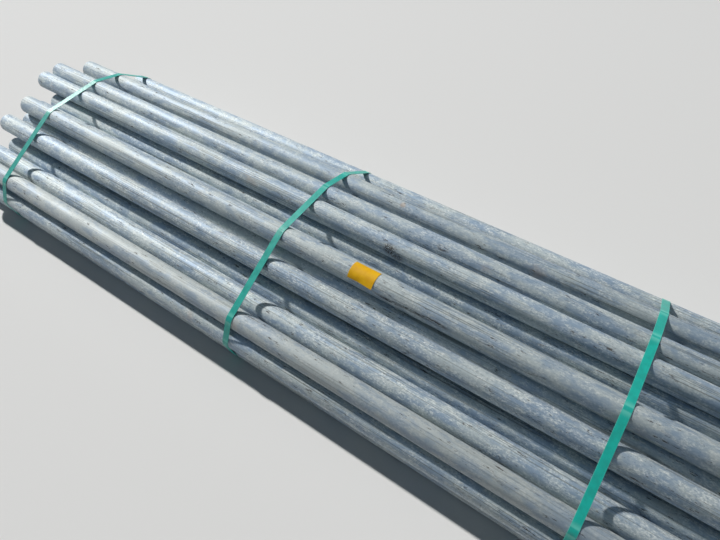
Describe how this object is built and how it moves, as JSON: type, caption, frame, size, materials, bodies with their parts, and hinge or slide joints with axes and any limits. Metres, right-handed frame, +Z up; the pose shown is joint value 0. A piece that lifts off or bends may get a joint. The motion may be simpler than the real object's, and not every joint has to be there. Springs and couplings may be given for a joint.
{
  "type": "stack of steel tubes",
  "caption": "Mound-shaped bundle of round galvanised steel tubes, held by green plastic straps, with a plain yellow lot label.",
  "frame": {"origin": "centre of the bundle's footprint, on the floor under the straps", "axes": "+X along the tubes, +Y across the bundle away from the picture's camera, +Z up"},
  "size_m": [2.154, 0.5646, 0.2232],
  "materials": {
    "galvanised_steel": "hot-dip galvanised, dull grey with spangle",
    "strap_green": "embossed polyester strapping, semi-gloss",
    "label_yellow": "matt, bare"
  },
  "bodies": {
    "root": {"tube_row_1": "galvanised_steel", "tube_row_2": "galvanised_steel", "tube_row_3": "galvanised_steel", "tube_row_4": "galvanised_steel", "tube_row_5": "galvanised_steel", "strap_left": "strap_green", "strap_middle": "strap_green", "strap_right": "strap_green", "label": "label_yellow"}
  },
  "joints": []
}
